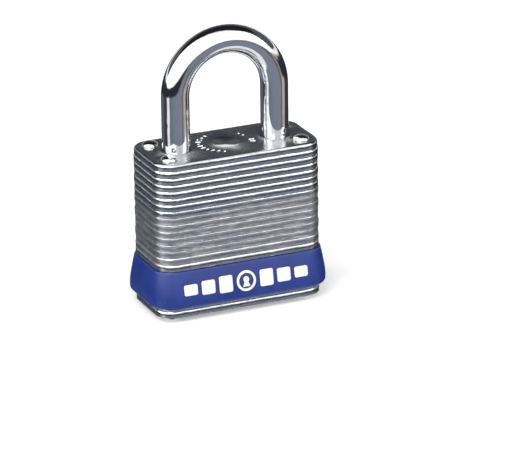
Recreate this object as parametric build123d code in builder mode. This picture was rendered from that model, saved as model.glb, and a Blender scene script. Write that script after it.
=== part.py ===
"""Laminated steel padlock: a riveted stack of stamped plates with a swelling plastic bumper,
a round steel shackle, two locking levers and a four-pin cylinder.

Millimetres. +Z is up, the keyway faces down and the front is -Y. The origin is on the surface
that the lock stands on, under the middle of the body. The pieces are drawn with the shackle
pushed home and the plug turned to the open side, so the levers are drawn back. The heel, the
leg that stays in the body, is at -X and the toe is at +X.
"""

import os
from math import cos, radians, sin

from build123d import *

# ---------------------------------------------------------------- body stack
body_width = 44.4
body_depth = 20.6
corner_radius = 4.9
plate_thickness = 1.75
edge_roll = 0.45  # rounding that the stamping die leaves on each plate's upper edge
edge_roll_low = 0.3  # the same on the lower plates, which are cut with a duller die
edge_wander = 0.06  # how far one plate's outline may stand in or out of the next
wander_step = 2.4  # radians of that waviness from one plate to the next
stack_clearance = 0.1

cylinder_plates = 12  # plates round the cylinder, above the bottom plate
lever_plates = 5  # plates round the arms of the levers
tip_plates = 2  # plates level with the lever tips
cap_plates = 3  # plates above the levers
bumper_plates = 7  # the highest plate that the bumper covers
foot_plates = 2  # full-width plates at the bottom, which the bumper hooks over
plate_count = 1 + cylinder_plates + lever_plates + tip_plates + cap_plates

# ---------------------------------------------------------------- rivets
rivet_spacing_x = 35.6
rivet_spacing_y = 12.2
rivet_radius = 1.45
rivet_clearance = 0.05
rivet_head_radius = 2.1
rivet_head_height = 1.2
rivet_tail_radius = 2.0
rivet_tail_edge = 0.8
rivet_foot = 1.45  # how far the tails stand below the bottom plate

# ---------------------------------------------------------------- shackle
shackle_diameter = 7.1
shackle_gap = 19.5  # clear width between the legs
shackle_clearance = 23.4  # clear height under the bow
leg_play = 0.2
leg_chamfer = 0.7
notch_depth = 1.3
notch_play = 0.2
toe_tip = 2.8  # length of the toe below its notch
lift_margin = 0.6  # how far the toe clears the top plate when it is open
heel_flange = 4.0
neck_play = 0.1
retainer_depth = 9.0

# ---------------------------------------------------------------- cylinder
plug_diameter = 10.9
plug_head_radius = 6.0
head_play = 0.15
bore_play = 0.05
housing_wall = 1.7
housing_depth = 6.6  # across the block that holds the pin chambers
housing_recess = 2.3  # depth of the pocket for the plug's clip
pocket_wall = 0.65
pin_count = 4
pin_pitch = 3.6
pin_radius = 1.4
first_pin = 5.2  # from the plug's face
driver_length = 3.4
key_pin_lengths = (3.0, 2.2, 3.6, 2.6)
cover_thickness = 0.8
cover_margin = 0.8
key_slot_width = 2.2
key_slot_height = 8.2
key_slot_floor = 1.1  # metal left behind the slot
ward_depth = 0.7
ward_width = 1.3
clip_thickness = 0.9
clip_play = 0.1
open_turn = 50.0  # degrees that the plug turns from locked to open

# ---------------------------------------------------------------- cam and levers
cam_radius = 3.9
cam_thickness = 2.0
cam_drop = 0.5  # how far the cam sits below the lever plates
cam_pin_orbit = 2.5
cam_pin_radius = 0.8
cam_pin_length = 2.8
tang_width = 1.9
tang_length = 6.4
tang_height = 0.9
cam_screw_radius = 0.7
cam_screw_head = 1.15
cam_screw_length = 4.5
cam_screw_slot = 0.35
lever_half_depth = 2.2
lever_web = 3.5
lever_arm_height = 2.4
lever_arm_outer = 4.0
lever_arm_inner = 0.3
lever_arm_tip = 1.0
lever_play = 0.1
lever_wall = 0.6  # plate metal left between the lever window and each leg hole
spigot_radius = 1.1
spigot_length = 1.2

# ---------------------------------------------------------------- springs
lever_spring_radius = 1.6
lever_spring_wire = 0.45
lever_spring_turns = 6
shackle_spring_radius = 2.6
shackle_spring_wire = 0.7
shackle_spring_turns = 4
pin_spring_radius = 1.0
pin_spring_wire = 0.3
pin_spring_turns = 7
spring_seat = 0.1  # gap left at each end of a drawn spring

# ---------------------------------------------------------------- bumper and marks
narrow_step = 0.6  # how far the plates inside the bumper stand back
bumper_profile = (  # share of the bumper's height, swell beyond the plates
    (0.0, 1.55),
    (0.12, 1.68),
    (0.32, 1.6),
    (0.66, 1.05),
    (1.0, 0.35),
)
bumper_foot = 2.55  # how far the bumper's lower rim stands above the body's underside
bumper_foot_edge = 1.1
badge_proud = 0.25
badge_rise = 0.1
badge_ring = 2.6
badge_ring_wall = 0.65
badge_hole_radius = 0.72
badge_hole_skirt = 1.7
badge_bars = 3
badge_bar_width = 3.6
badge_bar_gap = 1.1
badge_bar_height = 4.2
badge_bar_taper = 0.18  # each bar is shorter than the one before it by this share
badge_bar_corner = 0.5
dimple_radius = 3.4
dimple_depth = 0.75
mark_depth = 0.3
mark_orbit = 6.8
mark_width = 0.55
mark_long = 1.7
mark_short = 1.0
mark_turns = (*range(205, 336, 13), 50, 62, 95, 107)  # degrees round the dish from the back
drain_radius = 1.1

# ---------------------------------------------------------------- levels
stack_bottom = rivet_foot


def plate_floor(number):
    """Height of the underside of a plate; plate 1 is the bottom one."""
    return stack_bottom + (number - 1) * plate_thickness


bottom_top = plate_floor(2)
foot_top = plate_floor(1 + foot_plates)
first_lever_plate = 2 + cylinder_plates
first_tip_plate = first_lever_plate + lever_plates
first_cap_plate = first_tip_plate + tip_plates
lever_floor = plate_floor(first_lever_plate)
tip_floor = plate_floor(first_tip_plate)
cap_floor = plate_floor(first_cap_plate)
stack_top = plate_floor(plate_count + 1)
bumper_top = plate_floor(1 + bumper_plates) - stack_clearance / 2
bumper_low = stack_bottom + bumper_foot

# ---------------------------------------------------------------- rivet and shackle places
rivet_x = rivet_spacing_x / 2
rivet_hole = rivet_radius + rivet_clearance
rivet_places = [(x, y) for x in (-rivet_x, rivet_x) for y in (-rivet_spacing_y / 2, rivet_spacing_y / 2)]

leg_radius = shackle_diameter / 2
leg_x = shackle_gap / 2 + leg_radius
leg_hole = leg_radius + leg_play
notch_floor = tip_floor - notch_play
notch_ceiling = cap_floor + notch_play
notch_x = leg_x - leg_radius + notch_depth
toe_end = notch_floor - toe_tip
toe_plate = 1 + int((toe_end - stack_bottom) // plate_thickness)
shackle_lift = stack_top - toe_end + lift_margin
bow_centre = stack_top + shackle_clearance - shackle_gap / 2

# The heel retainer is a U-shaped clip in one plate's pocket, below the toe.
neck_radius = leg_radius - notch_depth - neck_play
retainer_plate = toe_plate - 2
retainer_floor = plate_floor(retainer_plate) + stack_clearance / 2
retainer_top = retainer_floor + plate_thickness - stack_clearance
retainer_near = leg_x - leg_hole
retainer_far = leg_x + neck_radius
retainer_middle = (retainer_near + retainer_far) / 2
neck_floor = retainer_floor - shackle_lift - neck_play
neck_ceiling = retainer_top + notch_play
heel_end = neck_floor - heel_flange

# ---------------------------------------------------------------- cylinder and lever places
plug_radius = plug_diameter / 2
bore_radius = plug_radius + bore_play
housing_radius = bore_radius + housing_wall
housing_top = lever_floor - housing_recess
clip_level = housing_top + bore_play
clip_radius = housing_radius - pocket_wall - clip_play
groove_radius = plug_radius - clip_thickness
plug_top = lever_floor - cam_drop
chamber_end = rivet_x - rivet_hole - lever_wall
driver_start = bore_radius + bore_play
driver_end = driver_start + driver_length
pin_levels = [stack_bottom + first_pin + i * pin_pitch for i in range(pin_count)]
pin_middle = (pin_levels[0] + pin_levels[-1]) / 2
cover_length = pin_levels[-1] - pin_levels[0] + 2 * (pin_radius + cover_margin)
cover_depth = 2 * (pin_radius + cover_margin)

window_x = leg_x - leg_hole - lever_wall
window_y = lever_arm_outer + 2 * lever_play
half_turn = open_turn / 2
lever_travel = 2 * cam_pin_orbit * sin(radians(half_turn))
cam_top = plug_top + cam_thickness
arm_floor = cam_top + lever_play
arm_top = arm_floor + lever_arm_height
web_outer = window_x - lever_play - lever_travel
web_inner = web_outer - lever_web
tip_end = notch_x - lever_play - lever_travel
arm_end = lever_travel / 2 + cam_pin_radius + lever_play + lever_arm_tip
pin_slot_y = cam_pin_orbit * (1 + cos(radians(half_turn))) / 2
pin_slot_length = 2 * (cam_pin_radius + 2 * lever_play) + cam_pin_orbit - pin_slot_y
lever_spring_level = (arm_top + tip_floor) / 2

os.makedirs("parts", exist_ok=True)


def save(piece, label):
    """Labels a finished piece and writes its STEP file."""
    piece.part.label = label
    export_step(piece.part, f"parts/{label}.step")


def outline(swell):
    """Plan of the body, grown outwards by swell on every side."""
    return RectangleRounded(body_width + 2 * swell, body_depth + 2 * swell, corner_radius + swell)


def pin_plane(turn):
    """Upright plane through the plug's axis, facing the way that the pins point after a turn."""
    x, y = cos(radians(turn)), sin(radians(turn))
    return Plane(origin=(0, 0, 0), x_dir=(-y, x, 0), z_dir=(x, y, 0))


def coil_spring(radius, wire, length, turns):
    """A round-wire spring round +Z that fills length upwards from the origin."""
    free = length - 2 * spring_seat - wire
    with BuildPart() as spring:
        with BuildLine(Plane.XY.offset(spring_seat + wire / 2)):
            path = Helix(pitch=free / turns, height=free, radius=radius)
        with BuildSketch(Plane(origin=path @ 0, z_dir=path % 0)):
            Circle(wire / 2)
        sweep(is_frenet=True)
    return spring.part


# ================================================================ plates
def build_plate(number):
    """One stamped plate, with the holes that its level in the stack calls for."""
    floor = plate_floor(number)
    covered = foot_plates < number <= bumper_plates
    with BuildPart() as plate:
        with BuildSketch(Plane.XY.offset(floor)):
            outline(-narrow_step if covered else edge_wander * sin(wander_step * number))
        extrude(amount=plate_thickness)
        roll = edge_roll if number > first_lever_plate else edge_roll_low
        fillet(plate.faces().sort_by(Axis.Z)[-1].edges(), roll)
        with BuildSketch(Plane.XY.offset(floor)):
            with Locations(*rivet_places):
                Circle(rivet_hole)
            with Locations((-leg_x, 0)):
                Circle(leg_hole if number > 1 else drain_radius)
            if number == 1:
                Circle(plug_head_radius + head_play)
            elif number < first_lever_plate:
                Circle(housing_radius + stack_clearance)
                with Locations((chamber_end / 2, 0)):
                    Rectangle(chamber_end + 2 * stack_clearance, housing_depth + 2 * stack_clearance)
            elif number < first_cap_plate:
                Rectangle(2 * window_x, 2 * window_y)
            if first_tip_plate <= number < first_cap_plate:
                Rectangle(2 * leg_x, 2 * (lever_half_depth + lever_play))
            if number >= toe_plate:
                with Locations((leg_x, 0)):
                    Circle(leg_hole)
            if number == retainer_plate:
                with Locations((-retainer_middle, 0)):
                    Rectangle(
                        retainer_far - retainer_near + stack_clearance, retainer_depth + stack_clearance
                    )
        extrude(amount=plate_thickness, mode=Mode.SUBTRACT)
    return plate


for plate_number in range(1, plate_count):
    place = "_bottom" if plate_number == 1 else ""
    save(build_plate(plate_number), f"plate_{plate_number:02d}{place}")

# The top plate also carries a dished mark and plain strokes punched in an arc round it.
dimple_ball = (dimple_radius**2 + dimple_depth**2) / (2 * dimple_depth)
with BuildPart() as top_plate:
    add(build_plate(plate_count).part)
    with Locations((0, 0, stack_top - dimple_depth + dimple_ball)):
        Sphere(dimple_ball, mode=Mode.SUBTRACT)
    with BuildSketch(Plane.XY.offset(stack_top)):
        for place, turn in enumerate(mark_turns):
            with Locations(
                Location(
                    (mark_orbit * sin(radians(turn)), mark_orbit * cos(radians(turn)), 0), (0, 0, -turn)
                )
            ):
                Rectangle(mark_width, mark_long if place % 3 else mark_short)
    extrude(amount=-mark_depth, mode=Mode.SUBTRACT)
save(top_plate, f"plate_{plate_count:02d}_top")

# ================================================================ rivets
head_ball = (rivet_head_radius**2 + rivet_head_height**2) / (2 * rivet_head_height)
with BuildPart() as one_rivet:
    with BuildSketch(Plane.XZ):
        with BuildLine():
            Polyline(
                (0, stack_top + rivet_head_height),
                (0, 0),
                (rivet_tail_radius - rivet_tail_edge, 0),
                (rivet_tail_radius, rivet_tail_edge),
                (rivet_tail_radius, stack_bottom),
                (rivet_radius, stack_bottom),
                (rivet_radius, stack_top),
                (rivet_head_radius, stack_top),
            )
            RadiusArc((rivet_head_radius, stack_top), (0, stack_top + rivet_head_height), -head_ball)
        make_face()
    revolve(axis=Axis.Z)
with BuildPart() as rivets:
    with Locations(*rivet_places):
        add(one_rivet.part)
save(rivets, "body_rivets")

# ================================================================ shackle
with BuildPart() as shackle:
    with BuildLine():
        Line((leg_x, 0, toe_end), (leg_x, 0, bow_centre))
        ThreePointArc((leg_x, 0, bow_centre), (0, 0, bow_centre + leg_x), (-leg_x, 0, bow_centre))
        Line((-leg_x, 0, bow_centre), (-leg_x, 0, heel_end))
    with BuildSketch(Plane.XY.offset(toe_end)):
        with Locations((leg_x, 0)):
            Circle(leg_radius)
    sweep()
    rings = shackle.edges().filter_by(GeomType.CIRCLE).group_by(Axis.Z)
    chamfer(rings[0] + rings[1], leg_chamfer)
    with BuildSketch(Plane.XY.offset(neck_floor)):
        with Locations((-leg_x, 0)):
            Circle(leg_hole)
            Circle(neck_radius, mode=Mode.SUBTRACT)
    extrude(amount=neck_ceiling - neck_floor, mode=Mode.SUBTRACT)
    with BuildSketch(Plane.XY.offset(notch_floor)):
        Rectangle(2 * notch_x, shackle_diameter)
    extrude(amount=notch_ceiling - notch_floor, mode=Mode.SUBTRACT)
save(shackle, "shackle")

with BuildPart() as heel_retainer:
    with BuildSketch(Plane.XY.offset(retainer_floor)):
        with Locations((-retainer_middle, 0)):
            Rectangle(retainer_far - retainer_near, retainer_depth)
        with Locations((-leg_x, 0)):
            Circle(neck_radius + neck_play, mode=Mode.SUBTRACT)
        with Locations((-leg_x - leg_radius, 0)):
            Rectangle(shackle_diameter, 2 * (neck_radius + neck_play), mode=Mode.SUBTRACT)
    extrude(amount=retainer_top - retainer_floor)
save(heel_retainer, "heel_retainer")

# ================================================================ cylinder
with BuildPart() as housing:
    with BuildSketch(Plane.XY.offset(bottom_top)):
        Circle(housing_radius)
        with Locations((chamber_end / 2, 0)):
            Rectangle(chamber_end, housing_depth)
        Circle(bore_radius, mode=Mode.SUBTRACT)
    extrude(amount=lever_floor - bottom_top)
    with BuildSketch(Plane.XY.offset(housing_top)):
        Circle(housing_radius - pocket_wall)
    extrude(amount=housing_recess, mode=Mode.SUBTRACT)
    with BuildSketch(pin_plane(0)):
        with Locations(*[(0, level) for level in pin_levels]):
            Circle(pin_radius + bore_play)
    extrude(amount=chamber_end, mode=Mode.SUBTRACT)
    with BuildSketch(pin_plane(0).offset(chamber_end)):
        with Locations((0, pin_middle)):
            Rectangle(cover_depth, cover_length)
    extrude(amount=-cover_thickness, mode=Mode.SUBTRACT)
save(housing, "cylinder_housing")

with BuildPart() as cover:
    with BuildSketch(pin_plane(0).offset(chamber_end)):
        with Locations((0, pin_middle)):
            Rectangle(cover_depth - 2 * bore_play, cover_length - 2 * bore_play)
    extrude(amount=-cover_thickness)
save(cover, "chamber_cover")

with BuildPart() as drivers:
    with BuildSketch(pin_plane(0).offset(driver_start)):
        with Locations(*[(0, level) for level in pin_levels]):
            Circle(pin_radius)
    extrude(amount=driver_length)
save(drivers, "driver_pins")

pin_spring_length = chamber_end - cover_thickness - driver_end
one_pin_spring = coil_spring(pin_spring_radius, pin_spring_wire, pin_spring_length, pin_spring_turns)
with BuildPart() as pin_springs:
    with Locations(*[Location((driver_end, 0, level), (0, 90, 0)) for level in pin_levels]):
        add(one_pin_spring)
save(pin_springs, "pin_springs")

# The plug and what turns with it are drawn after the turn from locked to open.
turned = Plane.XY.rotated((0, 0, open_turn))
with BuildPart() as plug:
    with BuildSketch(Plane.XY.offset(stack_bottom)):
        Circle(plug_head_radius)
    extrude(amount=plate_thickness - bore_play)
    with BuildSketch(Plane.XY.offset(stack_bottom)):
        Circle(plug_radius)
    extrude(amount=plug_top - stack_bottom)
    with BuildSketch(turned.offset(plug_top)):
        Rectangle(tang_length, tang_width)
    extrude(amount=tang_height)
    with BuildSketch(Plane.XY.offset(clip_level)):
        Circle(plug_head_radius)
        Circle(groove_radius, mode=Mode.SUBTRACT)
    extrude(amount=clip_thickness + bore_play, mode=Mode.SUBTRACT)
    with BuildSketch(turned.offset(stack_bottom)):
        with Locations((key_slot_height / 2 - plug_radius + key_slot_floor, 0)):
            Rectangle(key_slot_height, key_slot_width)
        with Locations((-plug_radius / 2, key_slot_width / 2)):
            Rectangle(ward_width, 2 * ward_depth, mode=Mode.SUBTRACT)
        with Locations((plug_radius / 4, -key_slot_width / 2)):
            Rectangle(ward_width, 2 * ward_depth, mode=Mode.SUBTRACT)
    extrude(amount=housing_top - stack_bottom - clip_thickness, mode=Mode.SUBTRACT)
    with BuildSketch(pin_plane(open_turn)):
        with Locations(*[(0, level) for level in pin_levels]):
            Circle(pin_radius + bore_play)
    extrude(amount=plug_head_radius, mode=Mode.SUBTRACT)
    with Locations((0, 0, plug_top + tang_height)):
        Hole(cam_screw_radius + bore_play, depth=cam_screw_length + tang_height - cam_thickness)
save(plug, "plug")

with BuildPart() as key_pins:
    for level, length in zip(pin_levels, key_pin_lengths):
        with BuildSketch(pin_plane(open_turn).offset(plug_radius - length)):
            with Locations((0, level)):
                Circle(pin_radius)
        extrude(amount=length)
    with BuildSketch(Plane.XY.offset(stack_bottom)):
        Circle(plug_radius - bore_play)
    extrude(amount=housing_top - stack_bottom, mode=Mode.INTERSECT)
save(key_pins, "key_pins")

with BuildPart() as plug_clip:
    with BuildSketch(Plane.XY.offset(clip_level)):
        Circle(clip_radius)
        Circle(groove_radius + bore_play, mode=Mode.SUBTRACT)
        with Locations((0, clip_radius)):
            Rectangle(plug_radius, clip_radius, mode=Mode.SUBTRACT)
    extrude(amount=clip_thickness)
save(plug_clip, "plug_clip")

# ================================================================ cam, levers and their spring
with BuildPart() as cam:
    with BuildSketch(Plane.XY.offset(plug_top)):
        Circle(cam_radius)
    extrude(amount=cam_thickness)
    with BuildSketch(turned.offset(plug_top)):
        Rectangle(tang_length + 2 * bore_play, tang_width + 2 * bore_play)
    extrude(amount=tang_height + bore_play, mode=Mode.SUBTRACT)
    with BuildSketch(Plane.XY.offset(cam_top)):
        with PolarLocations(cam_pin_orbit, 2, start_angle=half_turn + 90):
            Circle(cam_pin_radius)
    extrude(amount=cam_pin_length)
    with Locations((0, 0, cam_top)):
        CounterSinkHole(cam_screw_radius + bore_play, cam_screw_head + bore_play, counter_sink_angle=90)
save(cam, "lever_cam")

cam_screw_cone = cam_screw_head - cam_screw_radius
with BuildPart() as cam_screw:
    with BuildSketch(Plane.XZ):
        with BuildLine():
            Polyline(
                (0, cam_top - bore_play),
                (0, cam_top - cam_screw_length),
                (cam_screw_radius, cam_top - cam_screw_length),
                (cam_screw_radius, cam_top - bore_play - cam_screw_cone),
                (cam_screw_head, cam_top - bore_play),
                close=True,
            )
        make_face()
    revolve(axis=Axis.Z)
    with BuildSketch(Plane.XY.offset(cam_top)):
        Rectangle(2 * cam_screw_head, cam_screw_slot)
    extrude(amount=-cam_screw_slot, mode=Mode.SUBTRACT)
save(cam_screw, "cam_screw")

with BuildPart() as left_lever:
    with BuildSketch(Plane.XY.offset(arm_floor)):
        with Locations((-(web_outer + web_inner) / 2, 0)):
            Rectangle(lever_web, 2 * lever_half_depth)
    extrude(amount=cap_floor - lever_play - arm_floor)
    with BuildSketch(Plane.XY.offset(tip_floor + lever_play)):
        with Locations((-(tip_end + web_inner) / 2, 0)):
            Rectangle(tip_end - web_inner, 2 * lever_half_depth)
    extrude(amount=cap_floor - tip_floor - 2 * lever_play)
    with BuildSketch(Plane.XY.offset(arm_floor)):
        with Locations(((arm_end - web_outer) / 2, -(lever_arm_outer + lever_arm_inner) / 2)):
            Rectangle(arm_end + web_outer, lever_arm_outer - lever_arm_inner)
        with Locations((lever_travel / 2, -pin_slot_y)):
            SlotOverall(pin_slot_length, 2 * (cam_pin_radius + lever_play), rotation=90, mode=Mode.SUBTRACT)
    extrude(amount=lever_arm_height)
    with BuildSketch(Plane.YZ.offset(-web_inner)):
        with Locations((0, lever_spring_level)):
            Circle(spigot_radius)
    extrude(amount=spigot_length)
save(left_lever, "left_lever")

with BuildPart() as right_lever:
    add(left_lever.part.rotate(Axis.Z, 180))
save(right_lever, "right_lever")

with BuildPart() as lever_spring:
    with Locations(Location((-web_inner, 0, lever_spring_level), (0, 90, 0))):
        add(coil_spring(lever_spring_radius, lever_spring_wire, 2 * web_inner, lever_spring_turns))
save(lever_spring, "lever_spring")

with BuildPart() as shackle_spring:
    with Locations((-leg_x, 0, bottom_top)):
        add(
            coil_spring(
                shackle_spring_radius, shackle_spring_wire, heel_end - bottom_top, shackle_spring_turns
            )
        )
save(shackle_spring, "shackle_spring")


# ================================================================ bumper and its badge
def bumper_block(grow):
    """The bumper's outer form, grown by grow, with no hole in it."""
    with BuildPart() as block:
        for share, swell in bumper_profile:
            with BuildSketch(Plane.XY.offset(bumper_low + share * (bumper_top - bumper_low))):
                outline(swell + grow)
        loft()
    return block


with BuildPart() as bumper:
    add(bumper_block(0).part)
    fillet(bumper.faces().sort_by(Axis.Z)[0].edges(), bumper_foot_edge)
    with BuildSketch(Plane.XY.offset(foot_top + stack_clearance / 2)):
        outline(stack_clearance / 2 - narrow_step)
    extrude(amount=stack_top, mode=Mode.SUBTRACT)
    with BuildSketch(Plane.XY):
        outline(stack_clearance / 2 + edge_wander)
    extrude(amount=foot_top + stack_clearance / 2, mode=Mode.SUBTRACT)
save(bumper, "bumper")

badge_level = (bumper_low + bumper_top) / 2 + badge_rise
with BuildPart() as badge:
    with BuildSketch(Plane.XZ.offset(body_depth / 2)):
        with Locations((0, badge_level)):
            Circle(badge_ring)
            Circle(badge_ring - badge_ring_wall, mode=Mode.SUBTRACT)
        with Locations((0, badge_level + badge_hole_radius / 2)):
            Circle(badge_hole_radius)
        with Locations((0, badge_level - badge_hole_radius)):
            Trapezoid(badge_hole_radius * 2, badge_hole_skirt, 75)
        for side in (-1, 1):
            for step in range(badge_bars):
                middle = badge_ring + badge_bar_gap + badge_bar_width / 2
                middle += step * (badge_bar_width + badge_bar_gap)
                with Locations((side * middle, badge_level)):
                    RectangleRounded(
                        badge_bar_width, badge_bar_height * (1 - badge_bar_taper * step), badge_bar_corner
                    )
    extrude(amount=body_depth / 2)
    add(bumper_block(badge_proud).part, mode=Mode.INTERSECT)
    add(bumper_block(0).part, mode=Mode.SUBTRACT)
save(badge, "bumper_badge")
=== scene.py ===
"""Looks of a laminated steel padlock, built round its packed mechanism.

The body is a stack of stamped plates with rolled edges, drawn together by peened rivets. A
plated shackle stands out of it, and a moulded bumper with a raised motif wraps its foot. The
cylinder, levers and springs inside keep their own shapes and get finishes here.
"""

import logging
import math
from dataclasses import dataclass, field
from enum import Enum

import bmesh
import bpy
from mathutils import Euler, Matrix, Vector, noise
from mathutils.geometry import delaunay_2d_cdt


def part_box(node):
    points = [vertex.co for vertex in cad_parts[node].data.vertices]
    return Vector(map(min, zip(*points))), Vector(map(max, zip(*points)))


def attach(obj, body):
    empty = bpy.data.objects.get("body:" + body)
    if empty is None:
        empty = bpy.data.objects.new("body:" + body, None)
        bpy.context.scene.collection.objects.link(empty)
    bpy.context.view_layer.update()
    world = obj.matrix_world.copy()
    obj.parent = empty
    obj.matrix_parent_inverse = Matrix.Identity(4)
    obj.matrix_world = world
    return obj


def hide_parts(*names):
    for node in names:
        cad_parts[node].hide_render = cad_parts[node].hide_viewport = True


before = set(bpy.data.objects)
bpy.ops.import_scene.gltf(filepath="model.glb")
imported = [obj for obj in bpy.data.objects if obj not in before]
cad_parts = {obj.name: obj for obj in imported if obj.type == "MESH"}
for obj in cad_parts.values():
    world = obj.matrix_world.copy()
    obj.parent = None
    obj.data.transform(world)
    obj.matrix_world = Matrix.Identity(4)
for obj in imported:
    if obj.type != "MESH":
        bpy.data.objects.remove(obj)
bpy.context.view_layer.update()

MM = 0.001
# How close points are when they are welded, and when a plate's points are one, in millimetres.
WELD, SAME = 0.0005, 0.00001
WHITE = (1.0, 1.0, 1.0, 1.0)
# The straight runs of the body's outline, in millimetres: they set how many points an outline has.
STRAIGHT_X, STRAIGHT_Y = 34.6, 10.8
log = logging.getLogger("padlock")

Point = tuple[float, float, float]
Flat = tuple[float, float]
Colour = tuple[float, float, float]


class Ride(Enum):
    """The bodies that the pieces ride on."""

    CASE = "case"
    SHACKLE = "shackle"


class Slot(Enum):
    """The names of the record's material slots."""

    PLATE = "plate_steel"
    RIVET = "rivet_steel"
    SHACKLE = "shackle_chrome"
    BUMPER = "bumper_plastic"
    BADGE = "badge_plastic"


def wave(place: Point, scale: float, seed: float) -> float:
    """Smooth irregularity from -1 to 1 at a place in millimetres.

    Args:
        place: where on the piece, in millimetres.
        scale: how many millimetres one swell takes.
        seed: an offset that sets one run of irregularity apart from another.

    Returns:
        The height of the swell there.
    """
    return noise.noise(Vector(place) / scale + Vector((seed, -seed, seed * 0.5)))


def cad_box_mm(node: str) -> tuple[Vector, Vector]:
    """The lowest and highest corner of a CAD node, in millimetres.

    Args:
        node: the node's name.

    Returns:
        The two corners.
    """
    low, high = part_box(node)
    return low / MM, high / MM


# ------------------------------------------------------------------------------- meshes


@dataclass(frozen=True)
class RoundHole:
    """A round hole through a plate, in millimetres."""

    x: float
    y: float
    radius: float
    segments: int = 48

    def loop(self, grow: float = 0.0) -> list[Flat]:
        """The hole's rim as a closed run of points.

        Args:
            grow: how far the rim is moved outwards.

        Returns:
            The points.
        """
        turn = 2 * math.pi / self.segments
        r = self.radius + grow
        return [
            (self.x + r * math.cos(i * turn), self.y + r * math.sin(i * turn))
            for i in range(self.segments)
        ]

    def holds(self, x: float, y: float) -> bool:
        """Whether a point lies inside the hole."""
        return math.hypot(x - self.x, y - self.y) < self.radius


@dataclass(frozen=True)
class SlotHole:
    """A straight-sided hole through a plate, in millimetres."""

    low_x: float
    high_x: float
    half_y: float

    def loop(self) -> list[Flat]:
        """The hole's rim as a closed run of points.

        Returns:
            The four corners.
        """
        return [
            (self.low_x, -self.half_y),
            (self.high_x, -self.half_y),
            (self.high_x, self.half_y),
            (self.low_x, self.half_y),
        ]

    def holds(self, x: float, y: float) -> bool:
        """Whether a point lies inside the hole."""
        return self.low_x < x < self.high_x and abs(y) < self.half_y


@dataclass(frozen=True)
class PunchedStroke:
    """A short round-ended stroke punched into the top plate, in millimetres."""

    x: float
    y: float
    length: float
    width: float
    turn: float
    spans: int = 6

    def loop(self, grow: float = 0.0) -> list[Flat]:
        """The stroke's rim as a closed run of points.

        Args:
            grow: how far the rim is moved outwards.

        Returns:
            The points.
        """
        half, r = (self.length - self.width) / 2, self.width / 2 + grow
        points = []
        for end, start in ((half, -math.pi / 2), (-half, math.pi / 2)):
            for i in range(self.spans + 1):
                a = start + math.pi * i / self.spans
                points.append((end + r * math.cos(a), r * math.sin(a)))
        c, s = math.cos(self.turn), math.sin(self.turn)
        return [(self.x + u * c - v * s, self.y + u * s + v * c) for u, v in points]

    def holds(self, x: float, y: float) -> bool:
        """Whether a point lies inside the stroke.

        Args:
            x: the point's place across the lock.
            y: the point's place front to back.

        Returns:
            True when it does.
        """
        dx, dy = x - self.x, y - self.y
        c, s = math.cos(self.turn), math.sin(self.turn)
        u, v = dx * c + dy * s, -dx * s + dy * c
        half = (self.length - self.width) / 2
        return math.hypot(max(abs(u) - half, 0.0), v) < self.width / 2


def rounded_outline(
    half_x: float, half_y: float, radius: float, arc: int = 14, step: float = 0.9
) -> list[tuple[Flat, Flat]]:
    """Points round a rounded rectangle with their outward normals.

    Args:
        half_x: half its width in millimetres.
        half_y: half its depth in millimetres.
        radius: its corner radius.
        arc: how many spans each corner has.
        step: how far apart the points on the body's own straight runs are.

    Returns:
        A closed run of (point, normal) pairs, anticlockwise from above.
    """
    in_x, in_y = half_x - radius, half_y - radius
    runs_x, runs_y = round(STRAIGHT_X / step), round(STRAIGHT_Y / step)
    points: list[tuple[Flat, Flat]] = []
    corners = ((in_x, in_y, 0), (-in_x, in_y, 1), (-in_x, -in_y, 2), (in_x, -in_y, 3))
    for index, (cx, cy, quarter) in enumerate(corners):
        for i in range(arc + 1):
            a = (quarter + i / arc) * math.pi / 2
            n = (math.cos(a), math.sin(a))
            points.append(((cx + radius * n[0], cy + radius * n[1]), n))
        next_x, next_y, _ = corners[(index + 1) % 4]
        a = (quarter + 1) * math.pi / 2
        n = (math.cos(a), math.sin(a))
        runs = runs_x if index % 2 == 0 else runs_y
        for i in range(1, runs):
            t = i / runs
            x = cx + (next_x - cx) * t + radius * n[0]
            y = cy + (next_y - cy) * t + radius * n[1]
            points.append(((x, y), n))
    return points


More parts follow.
